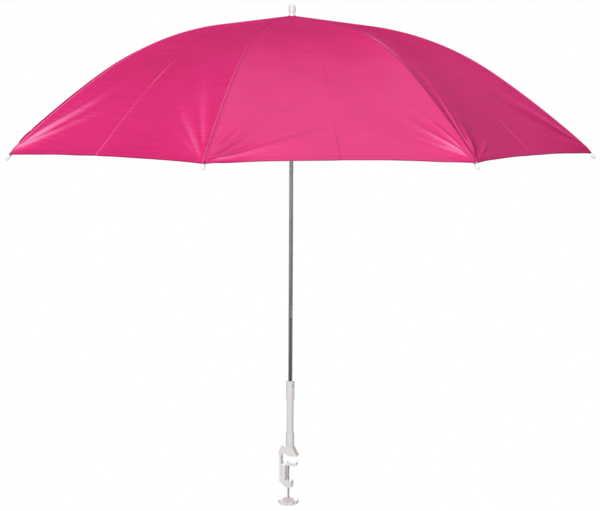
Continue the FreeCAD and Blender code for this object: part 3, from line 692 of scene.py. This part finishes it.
    # the whole leaf's own slopes, kept where it is parted so that the light runs on over the joins
    wide = len(columns)
    whole = bpy.data.meshes.new("whole_leaf")
    whole.from_pydata(points, [], grid_faces(rows, wide))
    slopes = [corner.vector.copy() for corner in whole.vertex_normals]
    bpy.data.meshes.remove(whole)
    middle = wide // 2
    for name, first, last, side in (
        ("canopy_ridge_%d" % number, middle - strip_end + 1, middle + strip_end - 1, 0),
        ("canopy_wing_%d_left" % number, middle + strip_end - 1, wide - 1, 1),
        ("canopy_wing_%d_right" % number, 0, middle - strip_end + 1, -1),
    ):
        kept = [row * wide + column for row in range(rows) for column in range(first, last + 1)]
        sheet = bpy.data.meshes.new(name)
        sheet.from_pydata([points[corner] for corner in kept], [], grid_faces(rows, last + 1 - first))
        layer = sheet.uv_layers.new(name="cloth")
        for loop in sheet.loops:
            layer.data[loop.index].uv = flat[kept[loop.vertex_index]]
        for title, values in marked.items():
            stored = sheet.attributes.new(title, "FLOAT", "POINT")
            stored.data.foreach_set("value", [values[corner] for corner in kept])
        leaf = bpy.data.objects.new(name, sheet)
        scene.collection.objects.link(leaf)
        bpy.ops.object.select_all(action="DESELECT")
        leaf.select_set(True)
        bpy.context.view_layer.objects.active = leaf
        gauge = leaf.modifiers.new("gauge", "SOLIDIFY")
        gauge.thickness = cloth_gauge
        gauge.offset = -1
        bpy.ops.object.modifier_apply(modifier="gauge")
        bpy.ops.object.shade_smooth_by_angle(angle=math.radians(50))
        # the upper face takes those slopes, the under face their opposite, and the cut edges keep their own
        turned = []
        for face in leaf.data.polygons:
            upper = [corner < len(kept) for corner in face.vertices]
            facing = 1 if all(upper) else 0 if any(upper) else -1
            turned += [slopes[kept[corner % len(kept)]] * facing for corner in face.vertices]
        leaf.data.normals_split_custom_set(turned)
        leaf.data.materials.append(cloth)
        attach(leaf, "rib_%d" % number)
        if side:
            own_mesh(leaf)
        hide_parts("canopy_leaf_%d" % number)

# Finial: domed nylon knob on the shaft's end, over the middle of the cloth.
# The plated washer under it presses the cloth on the crown.
dress(("finial",), nylon)
dress(("finial_washer",), zinc)

# Floor, light and camera: a pale paper floor far below, because the parasol is clamped at a pram's handle.
# A white room, a strong soft box in front and weaker ones above and behind.
# Floor and room look white where they are seen or mirrored, and light the parasol more faintly.


# 1 where a surface is seen straight, in a gloss or through glass, and 0 where it only gives light
def seen_or_mirrored(finish):
    path = finish.node_tree.nodes.new("ShaderNodeLightPath")
    seen = reckon(finish, "MAXIMUM", path.outputs["Is Camera Ray"], path.outputs["Is Glossy Ray"])
    return reckon(finish, "MAXIMUM", seen, path.outputs["Is Transmission Ray"])


floor_size, floor_level, paper_glow = 7, -2.9, 0.7
bpy.ops.object.select_all(action="DESELECT")
bpy.ops.mesh.primitive_plane_add(size=floor_size, location=(0, 0, floor_level))
floor = bpy.context.object
floor.name = "floor"
paper = start_finish("floor_paper")
nodes, links = paper.node_tree.nodes, paper.node_tree.links
shader = nodes["Principled BSDF"]
shader.inputs["Base Color"].default_value = (0.86, 0.86, 0.86, 1)
shader.inputs["Roughness"].default_value = 0.8
bright_paper = nodes.new("ShaderNodeEmission")
bright_paper.inputs["Strength"].default_value = 1.0
choose = nodes.new("ShaderNodeMixShader")
links.new(reckon(paper, "MULTIPLY", seen_or_mirrored(paper), paper_glow), choose.inputs["Fac"])
links.new(shader.outputs["BSDF"], choose.inputs[1])
links.new(bright_paper.outputs["Emission"], choose.inputs[2])
links.new(choose.outputs["Shader"], nodes["Material Output"].inputs["Surface"])
floor.data.materials.append(paper)
room = bpy.data.worlds.new("room")
scene.world = room
room.use_nodes = True
nodes, links = room.node_tree.nodes, room.node_tree.links
nodes["Background"].inputs["Color"].default_value = (0.95, 0.97, 1.0, 1)
nodes["Background"].inputs["Strength"].default_value = 0.34
white = nodes.new("ShaderNodeBackground")
white.inputs["Strength"].default_value = 1.0
white.inputs["Color"].default_value = (1, 1, 1, 1)
choose = nodes.new("ShaderNodeMixShader")
links.new(seen_or_mirrored(room), choose.inputs["Fac"])
links.new(nodes["Background"].outputs["Background"], choose.inputs[1])
links.new(white.outputs["Background"], choose.inputs[2])
links.new(choose.outputs["Shader"], nodes["World Output"].inputs["Surface"])
for name, spot, aim, watts, size in (
    ("key", (0.05, -3.0, 0.95), (0, 0, 0.62), 60, 1.1),
    ("top", (0.38, -0.15, 2.7), (0, 0, 0.6), 15, 1.4),
    ("rear", (1.0, 2.4, 1.9), (0, 0, 0.6), 5, 1.2),
    ("back", (-0.3, 3.2, 0.9), (0, 0, 0.6), 36, 1.4),
):
    lamp = bpy.data.lights.new(name, "AREA")
    lamp.energy = watts
    lamp.size = size
    box = bpy.data.objects.new(name, lamp)
    box.location = spot
    box.rotation_euler = (Vector(aim) - Vector(spot)).to_track_quat("-Z", "Y").to_euler()
    scene.collection.objects.link(box)
lens = bpy.data.cameras.new("camera")
lens.lens = 85.78
lens.sensor_width = 36
camera = bpy.data.objects.new("camera", lens)
turn = Matrix.Identity(4)
for degrees, axis in ((13.43, "Z"), (83.19, "X"), (0.33, "Z")):
    turn = turn @ Matrix.Rotation(math.radians(degrees), 4, axis)
camera.matrix_world = Matrix.Translation((0.6081, -2.4764, 0.6722)) @ turn
scene.collection.objects.link(camera)
scene.camera = camera
